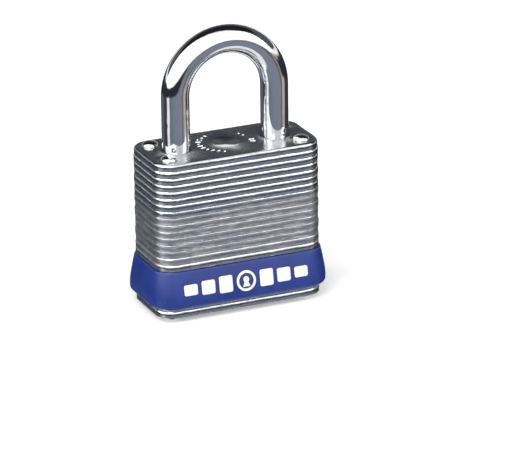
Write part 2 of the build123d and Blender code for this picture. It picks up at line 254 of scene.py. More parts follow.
class Shell:
    """Gathers the faces of one piece, in millimetres, and turns them into an object."""

    def __init__(self) -> None:
        """Starts with no points and no faces."""
        self.points: list[Point] = []
        self.faces: list[list[int]] = []

    def ring(self, points: list[Point]) -> list[int]:
        """Adds a run of points.

        Args:
            points: the points, in order.

        Returns:
            Their numbers.
        """
        first = len(self.points)
        self.points.extend(points)
        return list(range(first, len(self.points)))

    def skin(self, rings: list[list[int]], closed: bool = False) -> None:
        """Covers the way from ring to ring with faces.

        Args:
            rings: rings of equal length, in order.
            closed: whether the last ring joins the first.
        """
        pairs = list(zip(rings, rings[1:]))
        if closed:
            pairs.append((rings[-1], rings[0]))
        for low, high in pairs:
            for i in range(len(low)):
                j = (i + 1) % len(low)
                self.faces.append([low[i], low[j], high[j], high[i]])

    def cap(self, ring: list[int]) -> None:
        """Closes a ring with a fan of triangles from its middle.

        Args:
            ring: the ring's point numbers.
        """
        middle = sum((Vector(self.points[i]) for i in ring), Vector()) / len(ring)
        (centre,) = self.ring([tuple(middle)])
        for i in range(len(ring)):
            self.faces.append([ring[i], ring[(i + 1) % len(ring)], centre])

    def sheet(self, outline: list[Flat], holes: list, levels: list[float]) -> None:
        """Covers an outline with flat faces at each level, open at the holes.

        With two levels the holes' rims are also joined by upright walls.

        Args:
            outline: the closed, convex outer run of points.
            holes: holes with loop() and holds().
            levels: the heights to cover.
        """
        flats, edges = list(outline), []
        spans = [(0, len(outline))]
        for hole in holes:
            spans.append((len(flats), len(flats) + len(hole.loop())))
            flats.extend(hole.loop())
        for start, end in spans:
            edges.extend((i, i + 1 if i + 1 < end else start) for i in range(start, end))
        places, _, triangles, *_ = delaunay_2d_cdt([Vector(p) for p in flats], edges, [], 0, SAME)
        kept = []
        for face in triangles:
            mid = sum((places[i] for i in face), Vector((0, 0))) / len(face)
            if not any(hole.holds(mid.x, mid.y) for hole in holes):
                kept.append(list(face))
        layers = [self.ring([(p.x, p.y, z) for p in places]) for z in levels]
        for layer in layers:
            self.faces.extend([layer[i] for i in face] for face in kept)
        if len(layers) < 2:
            return
        uses: dict[tuple[int, int], int] = {}
        for face in kept:
            for a, b in zip(face, face[1:] + face[:1]):
                key = (min(a, b), max(a, b))
                uses[key] = uses.get(key, 0) + 1
        rim = {(round(x, 4), round(y, 4)) for x, y in outline}
        for (a, b), count in uses.items():
            on_rim = [(round(places[i].x, 4), round(places[i].y, 4)) in rim for i in (a, b)]
            if count == 1 and not all(on_rim):
                self.faces.append([layers[0][a], layers[0][b], layers[1][b], layers[1][a]])

    def piece(self, name: str, sharp: float = 38.0) -> bpy.types.Object:
        """Welds the faces into a smooth-shaded object in metres.

        Args:
            name: the piece's name.
            sharp: edges that turn by more than this many degrees stay crisp.

        Returns:
            The new object, linked to the scene.
        """
        mesh = bpy.data.meshes.new(name)
        mesh.from_pydata(self.points, [], self.faces)
        work = bmesh.new()
        work.from_mesh(mesh)
        bmesh.ops.remove_doubles(work, verts=work.verts, dist=WELD)
        bmesh.ops.dissolve_degenerate(work, edges=work.edges, dist=WELD / 10)
        loose = [v for v in work.verts if not v.link_faces]
        bmesh.ops.delete(work, geom=loose, context="VERTS")
        bmesh.ops.recalc_face_normals(work, faces=work.faces)
        bmesh.ops.scale(work, vec=Vector((MM, MM, MM)), verts=work.verts)
        work.to_mesh(mesh)
        work.free()
        for polygon in mesh.polygons:
            polygon.use_smooth = True
        mesh.set_sharp_from_angle(angle=math.radians(sharp))
        made = bpy.data.objects.new(name, mesh)
        bpy.context.scene.collection.objects.link(made)
        return made


def settle(
    made: bpy.types.Object,
    ride: Ride,
    finish: bpy.types.Material,
    nodes: tuple[str, ...] = (),
) -> bpy.types.Object:
    """Dresses a piece, sets it on its body and hides the CAD nodes that it stands for.

    Args:
        made: the piece.
        ride: the body that it rides on.
        finish: its material.
        nodes: the CAD nodes that it replaces.

    Returns:
        The piece.
    """
    made.data.materials.append(finish)
    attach(made, ride.value)
    if nodes:
        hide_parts(*nodes)
    log.info("%s rides on %s with %d faces", made.name, ride.value, len(made.data.polygons))
    return made


# ----------------------------------------------------------------------------- finishes

Socket = bpy.types.NodeSocket
Value = Socket | float
Tone = Socket | Colour


class Graph:
    """Adds nodes to one node tree."""

    def __init__(self, tree: bpy.types.NodeTree) -> None:
        """Works on the given tree."""
        self.tree = tree

    def feed(self, node: bpy.types.Node, inputs: dict) -> None:
        """Sets or links a node's inputs.

        Args:
            node: the node.
            inputs: socket name or number to a value or to a socket to link from.
        """
        for key, value in inputs.items():
            if isinstance(value, Socket):
                self.tree.links.new(value, node.inputs[key])
            else:
                node.inputs[key].default_value = value

    def add(self, kind: str, inputs: dict | None = None, **attributes: object) -> bpy.types.Node:
        """Adds a node, sets its attributes and sets or links its inputs.

        Args:
            kind: the node's type, without its ShaderNode prefix.
            inputs: socket name or number to a value or to a socket to link from.
            **attributes: the node's own settings.

        Returns:
            The new node.
        """
        made = self.tree.nodes.new(kind if kind.startswith("Node") else "ShaderNode" + kind)
        for key, value in attributes.items():
            setattr(made, key, value)
        self.feed(made, inputs or {})
        return made

    def get(self, kind: str, inputs: dict | None = None, **attributes: object) -> Socket:
        """The first output of a node that is added."""
        return self.add(kind, inputs, **attributes).outputs[0]

    def spot(self) -> Socket:
        """The place on the piece, in metres."""
        return self.add("TexCoord").outputs["Object"]

    def vector(self, operation: str, a: Socket, b: Socket) -> Socket:
        """A vector math node's result."""
        return self.get("VectorMath", {0: a, 1: b}, operation=operation)

    def math(self, operation: str, a: Value, b: Value, clamp: bool = False) -> Socket:
        """A math node's result."""
        return self.get("Math", {0: a, 1: b}, operation=operation, use_clamp=clamp)

    def times(self, a: Value, b: Value) -> Socket:
        """a times b."""
        return self.math("MULTIPLY", a, b)

    def plus(self, a: Value, b: Value) -> Socket:
        """a plus b."""
        return self.math("ADD", a, b)

    def most(self, a: Value, b: Value) -> Socket:
        """The larger of a and b."""
        return self.math("MAXIMUM", a, b)

    def mix(self, share: Value, a: Tone, b: Tone) -> Socket:
        """The colour between a and b at share."""
        a, b = (v if isinstance(v, Socket) else (*v, 1.0) for v in (a, b))
        return self.add("Mix", {0: share, 6: a, 7: b}, data_type="RGBA").outputs[2]

    def span(
        self, value: Value, low: float, high: float, to_low: float = 0.0, to_high: float = 1.0
    ) -> Socket:
        """value from low..high carried smoothly to to_low..to_high."""
        ends = {0: value, 1: low, 2: high, 3: to_low, 4: to_high}
        return self.get("MapRange", ends, interpolation_type="SMOOTHSTEP")

    def fade(self, value: Value, low: float, high: float) -> Socket:
        """1 below low, easing to 0 at high."""
        return self.span(value, low, high, 1.0, 0.0)

    def between(self, value: Value, rise: Flat, fall: Flat) -> Socket:
        """1 between rise and fall, easing over each of them."""
        return self.times(self.span(value, *rise), self.fade(value, *fall))

    def along(self, share: Value, start: float, end: float) -> Socket:
        """start to end as share goes from 0 to 1."""
        return self.span(share, 0.0, 1.0, start, end)

    def noise(self, place: Socket, scale: Value, detail: Value, **more: float) -> Socket:
        """Cloudy noise at a place."""
        return self.get("TexNoise", {"Vector": place, "Scale": scale, "Detail": detail, **more})

    def place(self, group: bpy.types.NodeTree, **values: object) -> bpy.types.bpy_prop_collection:
        """The outputs of a shared effect that is placed with its own values."""
        return self.add("Group", values, node_tree=group).outputs

    def mask(self, group: bpy.types.NodeTree, **values: object) -> Socket:
        """The mask of a shared effect that is placed with its own values."""
        return self.place(group, **values)["Mask"]

    def ramp(self, value: Value, stops: tuple[tuple[float, Colour], ...]) -> Socket:
        """A colour ramp's colour at value.

        Args:
            value: where along the ramp.
            stops: each stop's place and colour, in order.

        Returns:
            The colour.
        """
        made = self.add("ValToRGB", {0: value})
        ramp = made.color_ramp
        ramp.interpolation = "EASE"
        while len(ramp.elements) < len(stops):
            ramp.elements.new(0.5)
        for element, (place, _) in zip(ramp.elements, stops):
            element.position = place
        for element, (place, colour) in zip(ramp.elements, stops):
            element.position, element.color = place, (*colour, 1.0)
        return made.outputs[0]


class Surface(Graph):
    """The node tree of one material, with its shader."""

    def __init__(self, name: str) -> None:
        """Starts a material of that name."""
        self.material = bpy.data.materials.new(name)
        self.material.use_nodes = True
        self.material.node_tree.nodes.clear()
        super().__init__(self.material.node_tree)
        self.shader = self.add("BsdfPrincipled")
        self.add("OutputMaterial", {"Surface": self.shader.outputs[0]})

    def finish(
        self, colour: Socket, gloss: Socket, height: Socket, relief: Flat, metal: float = 1.0
    ) -> bpy.types.Material:
        """Sets the shader from its colour, roughness and relief.

        Args:
            colour: the colour's socket.
            gloss: the roughness's socket.
            height: the relief's socket.
            relief: the strength of the relief, and its depth in metres.
            metal: 1 for metal and 0 for plastic.

        Returns:
            The finished material.
        """
        strength, depth = relief
        bumped = self.get("Bump", {"Strength": strength, "Distance": depth, "Height": height})
        looks = {"Base Color": colour, "Roughness": gloss, "Normal": bumped, "Metallic": metal}
        self.feed(self.shader, looks)
        return self.material


class SharedEffects:
    """The shader node groups that several finishes place; lengths are in metres."""

    fine_step = 3.7
    bend_scale = 260.0
    bend_reach = 0.0016
    scratch_contrast = 9.0
    ragged_scale = 1400.0
    ragged_reach = 0.00035
    wear_scale = 70.0
    wear_reach = 0.005

    def __init__(self) -> None:
        """Builds every group once."""
        self.grain = self._grain()
        self.scratches = self._scratches()
        self.grime = self._grime()
        self.plate_bands = self._plate_bands()

    @staticmethod
    def _start(name: str, outputs: tuple[str, ...], **inputs: object) -> tuple:
        """An empty group with named sockets.

        Args:
            name: the group's name.
            outputs: the names of its value outputs.
            **inputs: the name of each input and its value.

        Returns:
            The group's graph, its inputs and its output node.
        """
        group = bpy.data.node_groups.new(name, "ShaderNodeTree")
        for label, value in inputs.items():
            kind = "NodeSocketVector" if isinstance(value, tuple) else "NodeSocketFloat"
            socket = group.interface.new_socket(label, in_out="INPUT", socket_type=kind)
            socket.default_value = value
        for label in outputs:
            group.interface.new_socket(label, in_out="OUTPUT", socket_type="NodeSocketFloat")
        graph = Graph(group)
        return graph, graph.add("NodeGroupInput").outputs, graph.add("NodeGroupOutput")

    def _grain(self) -> bpy.types.NodeTree:
        """Fine grain that may be drawn out along an axis.

        Returns:
            The group.
        """
        graph, given, out = self._start(
            "surface_grain", ("Height", "Fine"), Stretch=(1.0, 1.0, 1.0), Scale=800.0, Detail=4.0
        )
        drawn = graph.vector("MULTIPLY", graph.spot(), given["Stretch"])
        finer = graph.times(given["Scale"], self.fine_step)
        height = graph.noise(drawn, given["Scale"], given["Detail"])
        graph.feed(out, {"Height": height, "Fine": graph.noise(drawn, finer, given["Detail"])})
        return graph.tree

    def _scratches(self) -> bpy.types.NodeTree:
        """Thin scratches drawn out along an axis.

        Returns:
            The group.
        """
        graph, given, out = self._start(
            "thin_scratches", ("Mask",), Stretch=(1.0, 1.0, 0.05), Scale=1500.0, Rarity=0.62
        )
        place = graph.spot()
        bend = graph.add("TexNoise", {"Vector": place, "Scale": self.bend_scale, "Detail": 2.0})
        bent = graph.get(
            "VectorMath", {0: bend.outputs[1], "Scale": self.bend_reach}, operation="SCALE"
        )
        drawn = graph.vector("MULTIPLY", graph.vector("ADD", place, bent), given["Stretch"])
        lines = graph.noise(drawn, given["Scale"], 1.0)
        above = graph.math("SUBTRACT", lines, given["Rarity"])
        mask = graph.math("MULTIPLY", above, self.scratch_contrast, clamp=True)
        graph.feed(out, {"Mask": mask})
        return graph.tree

    def _grime(self) -> bpy.types.NodeTree:
        """Cloudy patches where handling has dulled a surface.

        Returns:
            The group.
        """
        graph, given, out = self._start(
            "handling_grime", ("Mask",), Scale=120.0, Start=0.45, End=0.75
        )
        cloud = graph.noise(graph.spot(), given["Scale"], 6.0, Roughness=0.62)
        mask = graph.get("MapRange", {0: cloud, 1: given["Start"], 2: given["End"]})
        graph.feed(out, {"Mask": mask})
        return graph.tree

    def _plate_bands(self) -> bpy.types.NodeTree:
        """Where a plate's rolled rim takes its painted highlight, where painted shade falls under the
        rim and in the seam between plates, and where the stack is scuffed.

        Returns:
            The group.
        """
        graph, given, out = self._start(
            "plate_bands", ("PaintedRimHighlight", "PaintedUnderRimShade", "Seam", "Worn"), Foot=0.00145, Pitch=0.00175
        )
        place = graph.spot()
        height = graph.add("SeparateXYZ", {0: place}).outputs[2]
        ragged = graph.noise(place, self.ragged_scale, 3.0)
        shifted = graph.times(graph.math("SUBTRACT", ragged, 0.5), self.ragged_reach)
        above = graph.math("SUBTRACT", graph.plus(height, shifted), given["Foot"])
        share = graph.math("FRACT", graph.math("DIVIDE", above, given["Pitch"]), 0.0)
        cloud = graph.noise(place, self.wear_scale, 3.0)
        lifted = graph.get("MapRange", {0: cloud, 3: -self.wear_reach, 4: self.wear_reach})
        level = graph.plus(height, lifted)
        bands = {
            # The first band places a painted highlight on each rolled rim; the next two place painted
            # shade under the rim and in the seam.
            "PaintedRimHighlight": graph.between(share, (0.6, 0.7), (0.93, 0.99)),
            "PaintedUnderRimShade": graph.between(share, (0.36, 0.48), (0.56, 0.66)),
            "Seam": graph.most(graph.fade(share, 0.0, 0.07), graph.span(share, 0.95, 1.0)),
            "Worn": graph.between(level, (0.0135, 0.0165), (0.0265, 0.0305)),
        }
        graph.feed(out, bands)
        return graph.tree


@dataclass(frozen=True)
class MetalFinish:
    """A bare metal with grain, scratches and dulled patches."""

    name: str
    tone: Colour
    dull: Colour
    smooth: float
    rough: float
    grain_scale: float = 900.0
    bump: float = 0.1
    bump_depth: float = 0.00006
    scratch_stretch: Point = (1.0, 1.0, 0.06)
    scratch_rarity: float = 0.64
    scratch_depth: float = 0.5
    grime_scale: float = 110.0
    grime_start: float = 0.48
    grime_end: float = 0.8
    grime_share: float = 0.75
    mottle_share: float = 0.45
    brighter: float = 1.35

    def build(self, effects: SharedEffects) -> bpy.types.Material:
        """Makes the material.

        Args:
            effects: the shared node groups.

        Returns:
            The finished material.
        """
        graph = Surface(self.name)
        grain = graph.place(effects.grain, Scale=self.grain_scale)
        scratches = graph.mask(
            effects.scratches, Stretch=self.scratch_stretch, Rarity=self.scratch_rarity
        )
        grime = graph.mask(
            effects.grime, Scale=self.grime_scale, Start=self.grime_start, End=self.grime_end
        )
        mottle = graph.span(grain["Height"], 0.3, 0.72)
        dulled = graph.times(grime, self.grime_share)
        shade = graph.most(dulled, graph.times(mottle, self.mottle_share))
        scored = graph.times(scratches, self.scratch_depth)
        bright = tuple(min(1.0, c * self.brighter) for c in self.tone)
        colour = graph.mix(scored, graph.mix(shade, self.tone, self.dull), bright)
        gloss = graph.along(graph.plus(shade, graph.times(scored, -0.3)), self.smooth, self.rough)
        height = graph.plus(grain["Fine"], graph.times(graph.plus(scored, mottle), 0.6))
        return graph.finish(colour, gloss, height, (self.bump, self.bump_depth))


@dataclass(frozen=True)
class PlateFinish:
    """Edges of stamped plates: painted highlights on the rolled rims, painted shade under them and in
    the seams, and a scuffed belt.
    """

    name: str
    tone: Colour = (0.66, 0.68, 0.72)
    dull: Colour = (0.36, 0.38, 0.43)
    tint: Colour = (0.36, 0.43, 0.55)
    scuffed: Colour = (0.7, 0.685, 0.67)
    # Painted highlight colour of the rolled rims; the real scratches take it too.
    rim: Colour = (0.98, 0.98, 0.99)
    # Painted shade just under each rolled rim.
    painted_under_rim_shade: Colour = (0.1, 0.115, 0.15)
    # Painted shade in the seam between plates.
    painted_seam_shade: Colour = (0.03, 0.03, 0.04)
    smooth: float = 0.25
    rough: float = 0.46
    grime_share: float = 0.8
    streak_share: float = 0.65
    tint_share: float = 0.6
    rubbed_share: float = 0.9
    upright_share: float = 0.2
    worn_rough: float = 0.08
    rim_polish: float = 0.1
    relief: Flat = (0.5, 0.0001)

    def build(self, effects: SharedEffects) -> bpy.types.Material:
        """Makes the material.

        Args:
            effects: the shared node groups.

        Returns:
            The finished material.
        """
        graph = Surface(self.name)
        grain = graph.place(effects.grain, Stretch=(0.22, 0.22, 1.0), Scale=1200.0)
        blotch = graph.place(effects.grain, Stretch=(0.6, 0.6, 1.0), Scale=700.0)
        upright = graph.mask(effects.scratches, Scale=1500.0, Rarity=0.58)
        level = graph.mask(effects.scratches, Stretch=(0.07, 0.07, 1.0), Scale=2600.0, Rarity=0.6)
        grime = graph.mask(effects.grime, Scale=130.0, Start=0.45, End=0.75)
        cast = graph.mask(effects.grime, Scale=60.0, Start=0.42, End=0.6)
        bands = graph.place(effects.plate_bands)
        worn = bands["Worn"]
        crisp = graph.math("SUBTRACT", 1.0, worn)
        mottle = graph.span(blotch["Height"], 0.36, 0.66)
        streak = graph.span(grain["Height"], 0.35, 0.68)
        shade = graph.most(
            graph.times(grime, self.grime_share), graph.times(streak, self.streak_share)
        )
        fine = graph.plus(
            graph.times(graph.times(upright, worn), self.upright_share),
            graph.times(level, graph.along(crisp, 0.5, 0.35)),
        )
        hold = graph.times(graph.along(worn, 0.95, 0.3), graph.along(shade, 1.0, 0.5))
        # Painted highlight along each rolled rim, weaker in the scuffed belt and the dulled patches.
        painted_highlight = graph.times(bands["PaintedRimHighlight"], hold)
        colour = graph.mix(shade, self.tone, self.dull)
        layers = (
            (graph.times(cast, self.tint_share), self.tint),
            (graph.times(worn, graph.along(mottle, self.rubbed_share, 0.0)), self.scuffed),
            (fine, self.rim),
            (painted_highlight, self.rim),
            # Painted shade in a band just under each rim.
            (graph.times(bands["PaintedUnderRimShade"], graph.along(worn, 0.8, 0.3)), self.painted_under_rim_shade),
            # Painted shade in the seams between plates.
            (graph.times(bands["Seam"], graph.along(worn, 0.95, 0.6)), self.painted_seam_shade),
        )
        for share, over in layers:
            colour = graph.mix(share, colour, over)
        gloss = graph.along(shade, self.smooth, self.rough)
        gloss = graph.plus(gloss, graph.times(worn, self.worn_rough))
        gloss = graph.math("SUBTRACT", gloss, graph.times(painted_highlight, self.rim_polish), clamp=True)
        marks = graph.times(graph.plus(fine, graph.times(mottle, worn)), 0.8)
        height = graph.plus(graph.times(grain["Fine"], 0.5), marks)
        return graph.finish(colour, gloss, height, self.relief)


@dataclass(frozen=True)
class PlatedFinish:
    """Polished plating with a faint ripple, hair scratches and finger-dulled patches."""

    name: str
    tone: Colour = (0.86, 0.86, 0.88)
    dull: Colour = (0.66, 0.66, 0.69)
    smooth: float = 0.045
    rough: float = 0.17
    relief: Flat = (0.5, 0.00022)

    def build(self, effects: SharedEffects) -> bpy.types.Material:
        """Makes the material.

        Args:
            effects: the shared node groups.

        Returns:
            The finished material.
        """
        graph = Surface(self.name)
        ripple = graph.place(effects.grain, Stretch=(1.0, 1.0, 0.35), Scale=210.0, Detail=3.0)
        hair = graph.mask(effects.scratches, Stretch=(1.0, 1.0, 0.12), Scale=1900.0, Rarity=0.66)
        shade = graph.times(graph.mask(effects.grime, Scale=150.0, Start=0.5, End=0.8), 0.8)
        colour = graph.mix(shade, self.tone, self.dull)
        gloss = graph.along(graph.most(shade, graph.times(hair, 0.5)), self.smooth, self.rough)
        height = graph.plus(ripple["Height"], graph.times(hair, 0.05))
        return graph.finish(colour, gloss, height, self.relief)


@dataclass(frozen=True)
class MouldedFinish:
    """Moulded plastic, white print or a painted shadow band, with a fine skin, rubbed patches and faint
    scuffs.
    """

    name: str
    tone: Colour
    rubbed: Colour
    smooth: float
    rough: float
    relief: Flat = (0.35, 0.00004)
    coat: float = 0.25
    coat_rough: float = 0.18

    def build(self, effects: SharedEffects) -> bpy.types.Material:
        """Makes the material.

        Args:
            effects: the shared node groups.

        Returns:
            The finished material.
        """
        graph = Surface(self.name)
        skin = graph.place(effects.grain, Scale=2600.0, Detail=3.0)
        scuffs = graph.mask(effects.scratches, Stretch=(0.12, 1.0, 1.0), Scale=1300.0, Rarity=0.67)
        rubs = graph.mask(effects.grime, Scale=90.0, Start=0.42, End=0.78)
        marked = graph.most(graph.times(rubs, 0.7), graph.times(scuffs, 0.8))
        colour = graph.mix(marked, self.tone, self.rubbed)
        gloss = graph.along(marked, self.smooth, self.rough)
        height = graph.plus(skin["Height"], graph.times(scuffs, 0.3))
        graph.feed(graph.shader, {"Coat Weight": self.coat, "Coat Roughness": self.coat_rough})
        return graph.finish(colour, gloss, height, self.relief, 0.0)


class Finishes:
    """Every finish of the lock, built once."""

    def __init__(self) -> None:
        """Builds the shared effects, then the finishes from them."""
        effects = SharedEffects()
        self.plate_edge = PlateFinish("stamped_plate_steel").build(effects)
        self.top_plate = MetalFinish(
            "top_plate_steel", (0.56, 0.58, 0.6), (0.26, 0.28, 0.31), 0.18, 0.36,
            grain_scale=500.0, bump=0.2, bump_depth=0.00004, scratch_stretch=(0.08, 1.0, 1.0),
            grime_scale=95.0, grime_start=0.4, grime_end=0.7,
        ).build(effects)
        # The dish's pale tone is a painted highlight for the light that it catches.
        self.dish = MetalFinish(
            "dish_steel_painted_bright", (0.9, 0.91, 0.88), (0.62, 0.64, 0.62), 0.1, 0.2,
            grain_scale=600.0, bump=0.15, bump_depth=0.00003, scratch_depth=0.2,
        ).build(effects)
        self.rivet = MetalFinish(
            "peened_rivet_steel", (0.9, 0.89, 0.88), (0.6, 0.6, 0.6), 0.12, 0.28,
            grain_scale=500.0, bump=0.22, bump_depth=0.00006, grime_scale=300.0,
            scratch_stretch=(1.0, 1.0, 1.0), scratch_depth=0.15,
        ).build(effects)
        self.shackle = PlatedFinish("polished_shackle_plating").build(effects)
        self.bumper = MouldedFinish(
            "blue_bumper_moulding", (0.008, 0.024, 0.17), (0.016, 0.045, 0.24), 0.3, 0.46
        ).build(effects)
        self.badge = MouldedFinish(
            "white_badge_print", (0.76, 0.78, 0.83), (0.58, 0.6, 0.69), 0.35, 0.5
        ).build(effects)
        # A dark band round the motif: painted shadow of its raised relief.
        self.badge_shadow = MouldedFinish(
            "badge_painted_shadow", (0.012, 0.018, 0.085), (0.03, 0.04, 0.12), 0.4, 0.55
        ).build(effects)
        self.brass = MetalFinish(
            "turned_cylinder_brass", (0.8, 0.58, 0.24), (0.48, 0.31, 0.12), 0.2, 0.42,
            grain_scale=900.0, bump=0.3, scratch_stretch=(0.15, 0.15, 1.0),
        ).build(effects)
        self.lever = MetalFinish(
            "oiled_lever_steel", (0.34, 0.34, 0.36), (0.12, 0.12, 0.13), 0.28, 0.48, bump=0.3
        ).build(effects)
        self.spring = MetalFinish(
            "spring_wire_steel", (0.62, 0.62, 0.63), (0.32, 0.32, 0.34), 0.2, 0.4, bump=0.2
        ).build(effects)


# ------------------------------------------------------------------------------ the body


@dataclass
class PlateStack:
    """The stamped plates that make the body, in millimetres."""

    corner: float = 4.9
    flat_margin: float = 1.2
    burr: float = 0.08
    cut_steps: tuple[Point, ...] = ((-0.02, 0.22, 1.0), (-0.015, 0.38, 0.8), (0.0, 0.5, 0.2))
    roll_high: float = 0.72
    roll_low: float = 0.24
    roll_in: float = 0.72
    roll_spans: int = 8
    sway: float = 0.02
    sway_in: float = 0.012
    belt_plate: float = 12.8
    belt_half: float = 5.2
    edge_rough: float = 0.03
    belt_rough: float = 0.09
    leg_hole: float = 3.75
    leg_x: float = 13.3
    rivet_x: float = 17.8
    rivet_y: float = 6.1
    rivet_hole: float = 1.5
    plug_hole: float = 6.15
    housing_hole: float = 7.3
    chamber_end: float = 15.8
    chamber_half: float = 3.4
    window: SlotHole = SlotHole(-8.95, 8.95, 4.2)
    tip_channel: SlotHole = SlotHole(-13.3, 13.3, 2.3)
    retainer_pocket: SlotHole = SlotHole(-15.55, -9.5, 4.55)
    drain: float = 1.1
    bore_segments: int = 64
    rivet_segments: int = 24
    lever_plate: int = 14
    retainer_plate: int = 15
    toe_plate: int = 17
    tip_plate: int = 19
    cap_plate: int = 21
    mouth_ease: float = 0.16
    mouth_steps: tuple[Flat, ...] = ((0.05, 0.04), (0.0, 0.16))
    dish_radius: float = 3.4
    dish_ease: float = 0.18
    dish_depth: float = 0.42
    dish_lip: float = 0.06
    dish_curve: float = 1.15
    dish_rings: tuple[float, ...] = (0.99, 0.94, 0.85, 0.72, 0.58, 0.44, 0.3, 0.16, 0.06)
    dish_reach: float = 3.5
    face_depth: float = 0.9
    mark_orbit: float = 6.8
    mark_turns: tuple[int, ...] = (*range(205, 336, 13), 50, 62, 95, 107)
    stroke_long: float = 1.7
    stroke_short: float = 1.0
    stroke_width: float = 0.82
    stroke_steps: tuple[Flat, ...] = ((-0.05, 0.05), (-0.13, 0.22), (-0.2, 0.26))
    names: list[str] = field(default_factory=list)

    def __post_init__(self) -> None:
        """Lists the plates from the bottom one up."""
        self.names = sorted(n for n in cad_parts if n.startswith("plate_"))

    def holes(self, number: int) -> list:
        """The holes through one plate.

        Args:
            number: the plate's place in the stack; 1 is the bottom one.

        Returns:
            Its holes.
        """
        found: list = [
            RoundHole(x, y, self.rivet_hole, self.rivet_segments)
            for x in (-self.rivet_x, self.rivet_x)
            for y in (-self.rivet_y, self.rivet_y)
        ]
        found.append(RoundHole(-self.leg_x, 0, self.leg_hole if number > 1 else self.drain))
        if number == 1:
            found.append(RoundHole(0, 0, self.plug_hole, self.bore_segments))
        elif number < self.lever_plate:
            found.append(RoundHole(0, 0, self.housing_hole, self.bore_segments))
            found.append(SlotHole(0, self.chamber_end, self.chamber_half))
        elif number < self.cap_plate:
            found.append(self.window)
        if self.tip_plate <= number < self.cap_plate:
            found.append(self.tip_channel)
        if number == self.retainer_plate:
            found.append(self.retainer_pocket)
        if number >= self.toe_plate:
            found.append(RoundHole(self.leg_x, 0, self.leg_hole))
        return found

    def edge_profile(self, thick: float, roll: float) -> list[tuple[float, float, float]]:
        """One plate's edge from the underside's margin over the rim to the top's.

        Args:
            thick: the plate's thickness.
            roll: the size of the rounding that the die left on the upper edge.

        Returns:
            How far out, how high and how ragged the edge is at each step.
        """
        steps = [(-self.flat_margin, 0.0, 0.0), (-self.burr, 0.0, 0.0), (0.0, self.burr, 0.35)]
        steps += [(out, share * thick, ragged) for out, share, ragged in self.cut_steps]
        for i in range(self.roll_spans + 1):
            a = math.pi / 2 * i / self.roll_spans
            inward = roll * self.roll_in * (1 - math.cos(a))
            steps.append((-inward, thick - roll * (1 - math.sin(a)), 0.1))
        steps.append((-self.flat_margin, thick, 0.0))
        return steps

    def edge_rings(self, shell: Shell, number: int, low: Vector, high: Vector) -> list[list[int]]:
        """The rings of one plate's edge, bottom first, each point with its own unevenness.

        Args:
            shell: the shell that takes the points.
            number: the plate's place in the stack.
            low: the plate's lowest corner.
            high: the plate's highest corner.

        Returns:
            The rings.
        """
        half_x, half_y = (high.x - low.x) / 2, (high.y - low.y) / 2
        belt = max(0.0, 1 - abs(number - self.belt_plate) / self.belt_half)
        base = self.roll_high + (self.roll_low - self.roll_high) * min(1.0, belt * 2.2)
        base *= 1 + 0.3 * wave((number * 5.3, 0.0, 0.0), 1.0, 8.0)
        rough = self.edge_rough + (self.belt_rough - self.edge_rough) * belt
        columns: list[list[Point]] = []
        for (x, y), (nx, ny) in rounded_outline(half_x, half_y, self.corner, 16, 0.5):
            along = (x, y, number * 40.0)
            roll = base * (1 + 0.22 * wave(along, 4.0, 1.0) + 0.16 * wave(along, 0.9, 2.0))
            sway = self.sway * wave(along, 6.0, 3.0) - self.sway_in
            column: list[Point] = []
            for out, rise, ragged in self.edge_profile(high.z - low.z, roll):
                off = out
                if out > -self.flat_margin / 2:
                    off += sway + ragged * rough * (wave((x, y, rise * 3 + number), 0.8, 5.0) - 0.4)
                column.append((x + nx * off, y + ny * off, low.z + rise))
            columns.append(column)
        return [shell.ring(list(level)) for level in zip(*columns)]

    def build(self, finishes: Finishes) -> None:
        """Builds every plate and sets it on the case.

        Args:
            finishes: the lock's finishes.
        """
        for number, node in enumerate(self.names, 1):
            low, high = cad_box_mm(node)
            shell = Shell()
            rings = self.edge_rings(shell, number, low, high)
            shell.skin(rings)
            margin = [shell.points[i][:2] for i in rings[0]]
            last = number == len(self.names)
            if last:
                self.top_face(shell, margin, self.holes(number), low.z, high.z)
            else:
                shell.sheet(margin, self.holes(number), [low.z, high.z])
            made = shell.piece(node.replace("plate_", "steel_plate_"))
            settle(made, Ride.CASE, finishes.plate_edge, (node,))
            if last:
                self.dress_top(made, finishes)

    def top_face(self, shell: Shell, margin: list[Flat], holes: list, low: float, high: float) -> None:
        """The top plate's faces: eased leg holes, a dished mark and punched strokes.

        Args:
            shell: the shell that takes the faces.
            margin: the outline of the flat part.
            holes: the holes through the plate.
            low: the height of the underside.
            high: the height of the top.
        """
        mouths = [RoundHole(h.x, h.y, h.radius + self.mouth_ease, h.segments) for h in holes]
        dish = RoundHole(0, 0, self.dish_radius + self.dish_ease, self.bore_segments)
        strokes = self.strokes()
        shell.sheet(margin, [*mouths, dish, *strokes], [high])
        shell.sheet(margin, holes, [low])
        for hole, mouth in zip(holes, mouths):
            rings = [shell.ring([(x, y, high) for x, y in mouth.loop()])]
            for grow, drop in self.mouth_steps:
                rings.append(shell.ring([(x, y, high - drop) for x, y in hole.loop(grow)]))
            rings.append(shell.ring([(x, y, low) for x, y in hole.loop()]))
            shell.skin(rings)
        rings = [shell.ring([(x, y, high) for x, y in dish.loop()])]
        for share in self.dish_rings:
            level = high - self.dish_lip - self.dish_depth * (1 - share**self.dish_curve)
            loop = RoundHole(0, 0, self.dish_radius * share, self.bore_segments).loop()
            rings.append(shell.ring([(x, y, level) for x, y in loop]))
        shell.skin(rings)
        shell.cap(rings[-1])
        for stroke in strokes:
            rings = [shell.ring([(x, y, high) for x, y in stroke.loop()])]
            for grow, drop in self.stroke_steps:
                rings.append(shell.ring([(x, y, high - drop) for x, y in stroke.loop(grow)]))
            shell.skin(rings)
            shell.cap(rings[-1])

